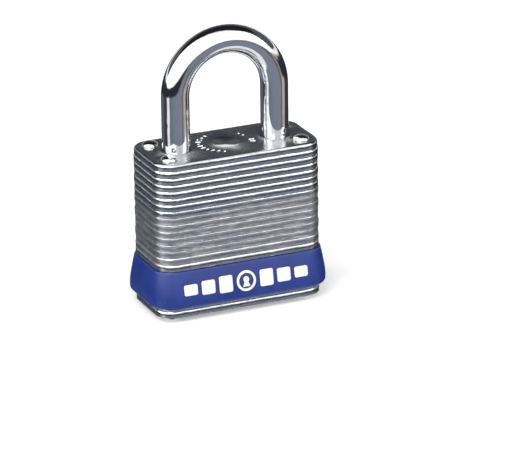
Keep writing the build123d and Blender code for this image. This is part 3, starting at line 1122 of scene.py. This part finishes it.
    def strokes(self) -> list[PunchedStroke]:
        """The plain strokes punched in an arc round the dished mark.

        Returns:
            The strokes; every third one is short.
        """
        found = []
        for place, degrees in enumerate(self.mark_turns):
            turn = math.radians(degrees)
            length = self.stroke_long if place % 3 else self.stroke_short
            x, y = self.mark_orbit * math.sin(turn), self.mark_orbit * math.cos(turn)
            found.append(PunchedStroke(x, y, length, self.stroke_width, math.pi / 2 - turn))
        return found

    def dress_top(self, made: bpy.types.Object, finishes: Finishes) -> None:
        """Gives the top plate's flat face its duller finish and the dish a far paler one, a painted
        highlight for the light the dish catches.

        Args:
            made: the top plate.
            finishes: the lock's finishes.
        """
        made.data.materials.append(finishes.top_plate)
        made.data.materials.append(finishes.dish)
        high = max(v.co.z for v in made.data.vertices)
        for polygon in made.data.polygons:
            middle = polygon.center
            if polygon.normal.z > 0.5 and middle.z > high - self.face_depth * MM:
                dished = math.hypot(middle.x, middle.y) < self.dish_reach * MM
                polygon.material_index = 2 if dished else 1


@dataclass
class RivetSet:
    """The four peened rivets, in millimetres."""

    spacing_x: float = 35.6
    spacing_y: float = 12.2
    shank: float = 1.45
    head: float = 2.1
    head_edge: float = 0.08
    head_curve: float = 0.9
    head_spans: int = 12
    tail: float = 2.0
    tail_flat: float = 0.55
    tail_steps: tuple[Flat, ...] = ((0.8, 0.0), (0.52, 0.12), (0.2, 0.42), (0.03, 0.78), (0.0, 1.05))
    tail_inset: float = 0.03
    head_inset: float = 0.04
    segments: int = 40

    def profile(self, low: float, high: float, top: float, bottom: float) -> list[Flat]:
        """Radius and height up one rivet, from its flat tail to its crown.

        Args:
            low: the height of the tail's end.
            high: the height of the crown.
            top: the height of the top plate's face.
            bottom: the height of the bottom plate's face.

        Returns:
            The profile's points.
        """
        points = [(self.tail_flat, low), *((self.tail - r, low + z) for r, z in self.tail_steps)]
        points += [(self.tail - self.tail_inset, bottom), (self.shank, bottom), (self.shank, top)]
        brow, rise = top + self.head_edge, high - top - self.head_edge
        points += [(self.head - self.head_inset, top), (self.head, brow)]
        for i in range(1, self.head_spans):
            a = math.pi / 2 * i / self.head_spans
            radius = self.head * math.cos(a) ** self.head_curve
            points.append((radius, brow + rise * math.sin(a)))
        return points

    def build(self, finishes: Finishes) -> None:
        """Builds the rivets as one piece with slightly uneven, hammered heads.

        Args:
            finishes: the lock's finishes.
        """
        low, high = cad_box_mm("body_rivets")
        top = cad_box_mm("plate_23_top")[1].z
        bottom = cad_box_mm("plate_01_bottom")[0].z
        shell = Shell()
        for index in range(4):
            cx = self.spacing_x / 2 * (1 if index % 2 else -1)
            cy = self.spacing_y / 2 * (1 if index > 1 else -1)
            rings = []
            for radius, z in self.profile(low.z, high.z, top, bottom):
                loop = []
                for i in range(self.segments):
                    a = 2 * math.pi * i / self.segments
                    x, y = math.cos(a), math.sin(a)
                    r, crown = radius, z
                    if z > top + 0.1:
                        r *= 1 + 0.03 * wave((x, y, z), 0.8, index * 7.0)
                        crown += 0.035 * wave((x * radius, y * radius, 0), 0.9, index * 5.0) - 0.03
                    elif z < bottom - 0.1 and z > low.z:
                        r *= 1 + 0.025 * wave((x, y, z), 0.8, index * 3.0) - 0.01
                    loop.append((cx + r * x, cy + r * y, crown))
                rings.append(shell.ring(loop))
            shell.skin(rings)
            shell.cap(rings[0])
            shell.cap(rings[-1])
        made = shell.piece("peened_rivets", 50.0)
        settle(made, Ride.CASE, finishes.rivet, ("body_rivets",))


# --------------------------------------------------------------------------- the shackle


@dataclass
class Shackle:
    """The bent bar with its neck and its two notches, in millimetres."""

    leg_x: float = 13.3
    radius: float = 3.55
    chamfer: float = 0.7
    chamfer_ease: Flat = (0.3, 0.45)
    notch_depth: float = 1.3
    notch_low: float = 32.75
    notch_high: float = 36.65
    neck_radius: float = 2.15
    neck_low: float = 13.55
    neck_high: float = 27.8
    toe_end: float = 29.95
    straight: Flat = (43.2, 49.2)
    segments: int = 96
    bow_steps: int = 120

    def section(
        self, shell: Shell, centre: Vector, inward: Vector, radius: float, notched: bool
    ) -> list[int]:
        """One ring of the bar.

        Args:
            shell: the shell that takes the points.
            centre: the middle of the ring.
            inward: the direction to the inside of the loop.
            radius: the ring's radius.
            notched: whether the inner side is cut flat.

        Returns:
            The ring's point numbers.
        """
        limit = self.radius - self.notch_depth
        points = []
        for i in range(self.segments):
            a = 2 * math.pi * i / self.segments
            u, v = radius * math.cos(a), radius * math.sin(a)
            if notched:
                u = min(u, limit)
            points.append(tuple(centre + inward * u + Vector((0, v, 0))))
        return shell.ring(points)

    def leg(
        self, side: int, stations: list[tuple[float, float, bool]], shell: Shell
    ) -> list[list[int]]:
        """The rings of one straight leg.

        Args:
            side: 1 for the toe's leg and -1 for the heel's.
            stations: the height and radius of each ring, and whether it is notched.
            shell: the shell that takes the points.

        Returns:
            The rings, lowest first.
        """
        inward = Vector((-side, 0, 0))
        return [
            self.section(shell, Vector((side * self.leg_x, 0, z)), inward, r, cut)
            for z, r, cut in stations
        ]

    def build(self, finishes: Finishes) -> None:
        """Builds the bar from the toe, over the bow, to the heel.

        Args:
            finishes: the lock's finishes.
        """
        low, high = cad_box_mm("shackle")
        centre_z = high.z - self.radius - self.leg_x
        r, c = self.radius, self.chamfer
        upper = [(self.notch_low, r, False), (self.notch_low, r, True)]
        upper += [(self.notch_high, r, True), (self.notch_high, r, False)]
        upper += [(z, r, False) for z in self.straight]
        up, out = (c * share for share in self.chamfer_ease)
        toe = [(self.toe_end, r - c, False), (self.toe_end + up, r - out, False)]
        toe += [(self.toe_end + c, r, False), *upper]
        heel = [(low.z, r - c, False), (low.z + c, r, False), (self.neck_low, r, False)]
        heel += [(self.neck_low, self.neck_radius, False), (self.neck_high, self.neck_radius, False)]
        heel += [(self.neck_high, r, False), *upper]
        shell = Shell()
        rings = self.leg(1, toe, shell)
        for i in range(self.bow_steps + 1):
            a = math.pi * i / self.bow_steps
            out = Vector((math.cos(a), 0, math.sin(a)))
            centre = Vector((0, 0, centre_z)) + out * self.leg_x
            rings.append(self.section(shell, centre, -out, r, False))
        rings += reversed(self.leg(-1, heel, shell))
        shell.skin(rings)
        shell.cap(rings[0])
        shell.cap(rings[-1])
        made = shell.piece("plated_shackle", 30.0)
        settle(made, Ride.SHACKLE, finishes.shackle, ("shackle",))


# ---------------------------------------------------------------------------- the bumper


@dataclass
class Bumper:
    """The moulded bumper and its raised motif, in millimetres."""

    body_half_x: float = 22.2
    body_half_y: float = 10.3
    corner: float = 4.9
    wall_in: float = 0.5
    sections: tuple[Flat, ...] = ((0.0, 1.55), (0.12, 1.68), (0.32, 1.6), (0.66, 1.05), (1.0, 0.35))
    lip: tuple[Flat, ...] = ((0.05, 0.0), (0.19, 0.03), (0.31, 0.12), (0.37, 0.25))
    lip_drop: float = 0.4
    wall_spans: int = 26
    foot_edge: float = 1.05
    foot_spans: int = 8
    foot_ledge: tuple[Flat, ...] = ((0.12, 0.0), (0.1, 0.9))
    ledge_in: float = 0.95
    proud: float = 0.24
    # The outline is a dark band round the motif, painted shadow of its relief.
    outline_proud: float = 0.07
    outline_grow: float = 0.2
    raised_edge: float = 0.1
    shadow_band_edge: float = 0.04
    sunk: float = -0.1
    motif_up: float = 0.1
    keyhole: float = 0.78
    keyhole_up: float = 0.36
    keyhole_spans: int = 19
    keyhole_skirt: tuple[Flat, ...] = ((-0.95, 1.35), (-0.45, 1.42), (0.45, 1.42), (0.95, 1.35))
    ring: float = 2.6
    ring_wall: float = 0.65
    bars: int = 3
    bar_width: float = 3.6
    bar_gap: float = 1.1
    bar_height: float = 4.2
    bar_taper: float = 0.18
    bar_corner: float = 0.5
    ring_spans: int = 72
    low: float = 0.0
    high: float = 0.0

    def __post_init__(self) -> None:
        """Takes the bumper's height from the frame."""
        low, high = cad_box_mm("bumper")
        self.low, self.high = low.z, high.z

    def swell(self, z: float) -> float:
        """How far the outer wall stands beyond the plates at a height.

        Args:
            z: the height.

        Returns:
            The distance, eased from section to section.
        """
        share = (z - self.low) / (self.high - self.low)
        places = self.sections
        for index, ((s0, v0), (s1, v1)) in enumerate(zip(places, places[1:])):
            if share <= s1:
                sa, va = places[max(index - 1, 0)]
                sb, vb = places[min(index + 2, len(places) - 1)]
                t = (share - s0) / (s1 - s0)
                m0 = (v1 - va) / (s1 - sa) * (s1 - s0)
                m1 = (vb - v0) / (sb - s0) * (s1 - s0)
                t2, t3 = t * t, t * t * t
                start, end = 2 * t3 - 3 * t2 + 1, 3 * t2 - 2 * t3
                return start * v0 + (t3 - 2 * t2 + t) * m0 + end * v1 + (t3 - t2) * m1
        return places[-1][1]

    def wall(self) -> list[Flat]:
        """The wall's section, from inside the lip down the outside to the ledge at the foot.

        Returns:
            How far out of the plates and how high each point is.
        """
        points = [(-self.wall_in, self.high), *((out, self.high - drop) for out, drop in self.lip)]
        top, bottom = self.high - self.lip_drop, self.low + self.foot_edge
        for i in range(self.wall_spans + 1):
            z = top - (top - bottom) * i / self.wall_spans
            points.append((self.swell(z), z))
        reach = points[-1][0] - self.foot_edge
        for i in range(1, self.foot_spans + 1):
            a = math.pi / 2 * i / self.foot_spans
            points.append((reach + self.foot_edge * math.cos(a), bottom - self.foot_edge * math.sin(a)))
        points += [(out, self.low + rise) for out, rise in self.foot_ledge]
        return points + [(-self.wall_in, self.low + self.ledge_in)]

    def build(self, finishes: Finishes) -> None:
        """Builds the bumper, then its motif.

        Args:
            finishes: the lock's finishes.
        """
        shell = Shell()
        rings = []
        for out, z in self.wall():
            points = []
            shape = rounded_outline(self.body_half_x + out, self.body_half_y + out, self.corner + out)
            for (x, y), (nx, ny) in shape:
                off = 0.02 * wave((x, y, z), 7.0, 4.0) if out > 0.2 else 0.0
                lift = 0.03 * wave((x, y, 0), 3.0, 9.0) - 0.03 if z > self.high - 0.05 else 0.0
                points.append((x + nx * off, y + ny * off, z + lift))
            rings.append(shell.ring(points))
        shell.skin(rings, closed=True)
        settle(shell.piece("moulded_bumper"), Ride.CASE, finishes.bumper, ("bumper",))
        self.motif(finishes)

    @property
    def middle(self) -> float:
        """The height of the motif's middle."""
        return (self.low + self.high) / 2 + self.motif_up

    def front(self, x: float, z: float, proud: float) -> Point:
        """A point over the bumper's front at x and z, standing proud of it."""
        return (x, -(self.body_half_y + self.swell(z) + proud), z)

    def loops(self) -> list[list[Flat]]:
        """The motif's closed shapes: the keyhole, then the bars at its sides.

        Returns:
            Each shape's outer run of points.
        """
        keyhole = []
        for i in range(self.keyhole_spans + 1):
            a = math.radians(-50 + 280 * i / self.keyhole_spans)
            up = self.middle + self.keyhole_up + self.keyhole * math.sin(a)
            keyhole.append((self.keyhole * math.cos(a), up))
        keyhole += [(x, self.middle - drop) for x, drop in self.keyhole_skirt]
        found = [keyhole]
        first = self.ring + self.bar_gap + self.bar_width / 2
        for side in (-1, 1):
            for step in range(self.bars):
                x = side * (first + step * (self.bar_width + self.bar_gap))
                half_z = self.bar_height * (1 - self.bar_taper * step) / 2
                shape = rounded_outline(self.bar_width / 2, half_z, self.bar_corner, 6, 6.0)
                found.append([(x + u, self.middle + v) for (u, v), _ in shape])
        return found

    @staticmethod
    def shrink(loop: list[Flat], by: float) -> list[Flat]:
        """A loop moved inwards.

        Args:
            loop: the closed run of points.
            by: how far inwards, or outwards when it is negative.

        Returns:
            The moved points.
        """
        moved = []
        for i, (x, z) in enumerate(loop):
            (ax, az), (bx, bz) = loop[i - 1], loop[(i + 1) % len(loop)]
            dx, dz = bx - ax, bz - az
            length = math.hypot(dx, dz) or 1.0
            moved.append((x - dz / length * by, z + dx / length * by))
        return moved

    def edge_steps(self, proud: float, edge: float) -> list[Flat]:
        """How far in and how proud a raised shape's edge is, from its root to its face."""
        return [(0.0, self.sunk), (0.0, proud - edge), (edge * 0.4, proud - edge * 0.3), (edge, proud)]

    def raise_loop(self, shell: Shell, loop: list[Flat], proud: float, edge: float) -> None:
        """Adds one raised shape with eased edges to a shell.

        Args:
            shell: the shell that takes the faces.
            loop: the shape's outer run of points.
            proud: how far it stands out of the bumper.
            edge: the size of its eased edge.
        """
        rings = []
        for inset, height in self.edge_steps(proud, edge):
            rings.append(shell.ring([self.front(x, z, height) for x, z in self.shrink(loop, inset)]))
        cx, cz = (sum(values) / len(loop) for values in zip(*loop))
        inner = self.shrink(loop, edge)
        for share in (0.66, 0.33):
            places = [(cx + (x - cx) * share, cz + (z - cz) * share) for x, z in inner]
            rings.append(shell.ring([self.front(x, z, proud) for x, z in places]))
        shell.skin(rings)
        shell.cap(rings[-1])
        shell.cap(rings[0])

    def raise_ring(self, shell: Shell, outer: float, inner: float, proud: float, edge: float) -> None:
        """Adds the raised ring round the keyhole to a shell.

        Args:
            shell: the shell that takes the faces.
            outer: the ring's outer radius.
            inner: its inner radius.
            proud: how far it stands out of the bumper.
            edge: the size of its eased edges.
        """
        turns = [2 * math.pi * i / self.ring_spans for i in range(self.ring_spans)]
        steps = self.edge_steps(proud, edge)
        stations = [(outer - inset, height) for inset, height in steps]
        stations += [(inner + inset, height) for inset, height in reversed(steps)]
        rings = []
        for r, height in stations:
            places = [(r * math.cos(a), self.middle + r * math.sin(a)) for a in turns]
            rings.append(shell.ring([self.front(x, z, height) for x, z in places]))
        shell.skin(rings, closed=True)

    def motif(self, finishes: Finishes) -> None:
        """Builds the raised motif and the dark outline round it, a painted shadow of the relief.

        Args:
            finishes: the lock's finishes.
        """
        # The second shell holds the painted shadow band round each shape.
        raised, shadow_band = Shell(), Shell()
        layers = (
            (raised, 0.0, self.proud, self.raised_edge),
            (shadow_band, self.outline_grow, self.outline_proud, self.shadow_band_edge),
        )
        for shell, grow, proud, edge in layers:
            for loop in self.loops():
                self.raise_loop(shell, self.shrink(loop, -grow), proud, edge)
            outer, inner = self.ring + grow, self.ring - self.ring_wall - grow
            self.raise_ring(shell, outer, inner, proud, edge)
        settle(raised.piece("raised_motif"), Ride.CASE, finishes.badge, ("bumper_badge",))
        settle(shadow_band.piece("motif_painted_shadow"), Ride.CASE, finishes.badge_shadow)


# ------------------------------------------------------------------------- the mechanism


@dataclass
class Mechanism:
    """The cylinder, levers and springs, which keep their own shapes and get finishes."""

    brass: tuple[str, ...] = (
        "cylinder_housing", "chamber_cover", "plug", "driver_pins", "key_pins",
    )
    lever: tuple[str, ...] = ("left_lever", "right_lever", "lever_cam", "heel_retainer")
    spring: tuple[str, ...] = (
        "pin_springs", "plug_clip", "cam_screw", "lever_spring", "shackle_spring",
    )

    def dress(self, finishes: Finishes) -> None:
        """Gives every inner piece its finish.

        Args:
            finishes: the lock's finishes.
        """
        for names, finish in (
            (self.brass, finishes.brass),
            (self.lever, finishes.lever),
            (self.spring, finishes.spring),
        ):
            for name in names:
                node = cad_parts[name]
                if not node.material_slots:
                    node.data.materials.append(finish)
                for place in node.material_slots:
                    place.material = finish
                log.info("%s keeps its shape and takes %s", name, finish.name)


# ---------------------------------------------------------------------------- the studio


@dataclass(frozen=True)
class Room:
    """What bright metal mirrors: walls by their turn, and bands by the sine of their height."""

    walls: tuple[tuple[float, Colour], ...] = (
        (0.0, (0.9, 0.9, 0.92)),
        (0.045, (0.8, 0.8, 0.82)),
        (0.07, (0.05, 0.05, 0.06)),
        (0.16, (0.11, 0.135, 0.175)),
        (0.25, (0.05, 0.05, 0.06)),
        (0.3, (0.06, 0.06, 0.07)),
        (0.32, (0.95, 0.95, 0.95)),
        (0.36, (0.95, 0.93, 0.95)),
        (0.38, (0.16, 0.18, 0.24)),
        (0.5, (0.2, 0.23, 0.3)),
        (0.64, (0.22, 0.24, 0.29)),
        (0.67, (0.14, 0.12, 0.12)),
        (0.69, (0.3, 0.26, 0.22)),
        (0.71, (0.5, 0.44, 0.38)),
        (0.74, (0.5, 0.44, 0.38)),
        (0.77, (0.05, 0.05, 0.06)),
        (0.93, (0.03, 0.03, 0.035)),
        (0.955, (0.8, 0.8, 0.82)),
        (1.0, (0.9, 0.9, 0.92)),
    )
    rear: Colour = (0.015, 0.015, 0.02)
    rear_strip: Colour = (0.09, 0.1, 0.11)
    strip_band: tuple[Flat, Flat] = ((0.16, 0.24), (0.5, 0.62))
    backdrop: Colour = (0.95, 0.95, 0.95)
    backdrop_top: Flat = (0.14, 0.2)
    tent: Colour = (1.25, 1.25, 1.25)
    tent_left: Colour = (2.2, 2.2, 2.2)
    left_edge: Flat = (0.15, 0.6)
    tent_edge: Flat = (-0.12, 0.06)
    tent_foot: Flat = (0.02, 0.09)
    front_edge: Flat = (0.1, 0.4)
    front_drop: float = 0.07
    table: Colour = (0.2, 0.24, 0.31)
    table_top: Flat = (-0.56, -0.42)
    apron: Colour = (0.9, 0.88, 0.86)
    apron_top: Flat = (-0.76, -0.71)
    shadow: Colour = (0.02, 0.02, 0.03)
    shadow_top: Flat = (-0.94, -0.9)
    horizon: Colour = (0.025, 0.03, 0.04)
    horizon_band: tuple[Flat, Flat] = ((-0.27, -0.22), (-0.06, 0.0))
    right_edge: Flat = (0.35, 0.62)
    right_horizon: float = 0.12

    def paint(self, graph: Graph, facing: Vector) -> Socket:
        """The room's colour in every direction.

        Args:
            graph: the world's node tree.
            facing: the direction from the lock to the camera.

        Returns:
            The colour.
        """
        way = graph.add("TexCoord").outputs["Generated"]
        turn = (0.0, 0.0, -math.atan2(facing.y, facing.x))
        turned = graph.get("Mapping", {"Vector": way, "Rotation": turn})
        radial = graph.add("TexGradient", {"Vector": turned}, gradient_type="RADIAL").outputs[1]
        front, side, up = graph.add("SeparateXYZ", {0: turned}).outputs
        rear = graph.mix(graph.between(up, *self.strip_band), self.rear, self.rear_strip)
        rear = graph.mix(graph.fade(up, *self.backdrop_top), rear, self.backdrop)
        left = graph.span(graph.times(side, -1.0), *self.left_edge)
        canopy = graph.mix(left, self.tent, self.tent_left)
        tent = graph.mix(graph.span(front, *self.tent_edge), rear, canopy)
        under = graph.mix(graph.fade(up, *self.apron_top), self.table, self.apron)
        under = graph.mix(graph.fade(up, *self.shadow_top), under, self.shadow)
        lower = graph.mix(graph.fade(up, *self.table_top), graph.ramp(radial, self.walls), under)
        near = graph.span(front, *self.front_edge)
        right = graph.times(near, graph.span(side, *self.right_edge))
        horizon = graph.times(
            graph.between(up, *self.horizon_band), graph.along(right, 1.0, self.right_horizon)
        )
        open_sky = graph.span(graph.plus(up, graph.times(near, self.front_drop)), *self.tent_foot)
        return graph.mix(horizon, graph.mix(open_sky, lower, tent), self.horizon)


@dataclass
class Studio:
    """A pale floor, soft lights and the camera."""

    azimuth: float = -23.45
    elevation: float = 20.55
    roll: float = -0.8
    distance: float = 1008.0
    target: Point = (7.08, 0.0, 18.59)
    lens: float = 286.0
    floor_size: float = 4.0
    floor_drop: float = 0.02
    floor_glow: float = 0.3
    lights_aim: Point = (0.0, 0.0, 0.03)

    def back(self) -> Vector:
        """The direction from the lock to the camera."""
        a, e = math.radians(self.azimuth), math.radians(self.elevation)
        return Vector((math.sin(a) * math.cos(e), -math.cos(a) * math.cos(e), math.sin(e)))

    def build(self) -> None:
        """Sets up the floor, the surroundings, the lights and the camera."""
        scene = bpy.context.scene
        scene.view_settings.view_transform = "Standard"
        self.floor()
        self.surroundings(scene)
        self.light("soft_key", (-0.35, -0.45, 0.6), 0.35, 2.2)
        self.light("soft_fill", (0.5, -0.4, 0.45), 0.45, 0.8)
        self.camera(scene)

    def floor(self) -> None:
        """A large pale floor with a faint grain."""
        half = self.floor_size / 2
        mesh = bpy.data.meshes.new("floor")
        corners = [(-half, -half), (half, -half), (half, half), (-half, half)]
        mesh.from_pydata([(x, y, -self.floor_drop * MM) for x, y in corners], [], [[0, 1, 2, 3]])
        made = bpy.data.objects.new("floor", mesh)
        bpy.context.scene.collection.objects.link(made)
        graph = Surface("pale_floor")
        cloud = graph.noise(graph.spot(), 30.0, 2.0)
        seen = graph.add("LightPath").outputs["Is Camera Ray"]
        looks = {"Base Color": graph.mix(cloud, (0.9, 0.9, 0.9), (0.94, 0.94, 0.94)), "Roughness": 0.9}
        looks |= {"Emission Color": WHITE, "Emission Strength": graph.times(seen, self.floor_glow)}
        graph.feed(graph.shader, looks)
        mesh.materials.append(graph.material)
        made.visible_glossy = False

    def surroundings(self, scene: bpy.types.Scene) -> None:
        """White to the eye, with the room that bright metal mirrors.

        Args:
            scene: the scene that takes the surroundings.
        """
        world = bpy.data.worlds.new("studio")
        world.use_nodes = True
        world.node_tree.nodes.clear()
        scene.world = world
        graph = Graph(world.node_tree)
        seen = graph.get("Background", {"Color": WHITE, "Strength": 1.0})
        lit = graph.get("Background", {"Color": Room().paint(graph, self.back()), "Strength": 1.0})
        ray = graph.add("LightPath").outputs["Is Camera Ray"]
        graph.add("OutputWorld", {"Surface": graph.get("MixShader", {0: ray, 1: lit, 2: seen})})

    def light(self, name: str, place: Point, size: float, power: float) -> None:
        """A square soft light that faces the lock.

        Args:
            name: the light's name.
            place: where it stands, in metres.
            size: the length of its side.
            power: its power in watts.
        """
        lamp = bpy.data.lights.new(name, "AREA")
        lamp.energy, lamp.size = power, size
        made = bpy.data.objects.new(name, lamp)
        made.location = place
        aim = Vector(self.lights_aim) - Vector(place)
        made.rotation_euler = aim.to_track_quat("-Z", "Y").to_euler()
        bpy.context.scene.collection.objects.link(made)

    def camera(self, scene: bpy.types.Scene) -> None:
        """A long-lens camera, level but for a slight roll.

        Args:
            scene: the scene that looks through it.
        """
        lens = bpy.data.cameras.new("camera")
        lens.lens, lens.sensor_width = self.lens, 36.0
        lens.clip_start, lens.clip_end = 0.01, 20.0
        made = bpy.data.objects.new("camera", lens)
        back = self.back()
        made.location = Vector(self.target) * MM + back * self.distance * MM
        look = (-back).to_track_quat("-Z", "Y")
        made.rotation_euler = (look @ Euler((0, 0, math.radians(self.roll))).to_quaternion()).to_euler()
        scene.collection.objects.link(made)
        scene.camera = made


def main() -> None:
    """Builds every sub-assembly in order; each piece's body and face count go to the log."""
    logging.basicConfig(level=logging.INFO, format="%(message)s")
    finishes = Finishes()
    PlateStack().build(finishes)
    RivetSet().build(finishes)
    Shackle().build(finishes)
    Bumper().build(finishes)
    Mechanism().dress(finishes)
    Studio().build()


if __name__ == "__main__":
    main()
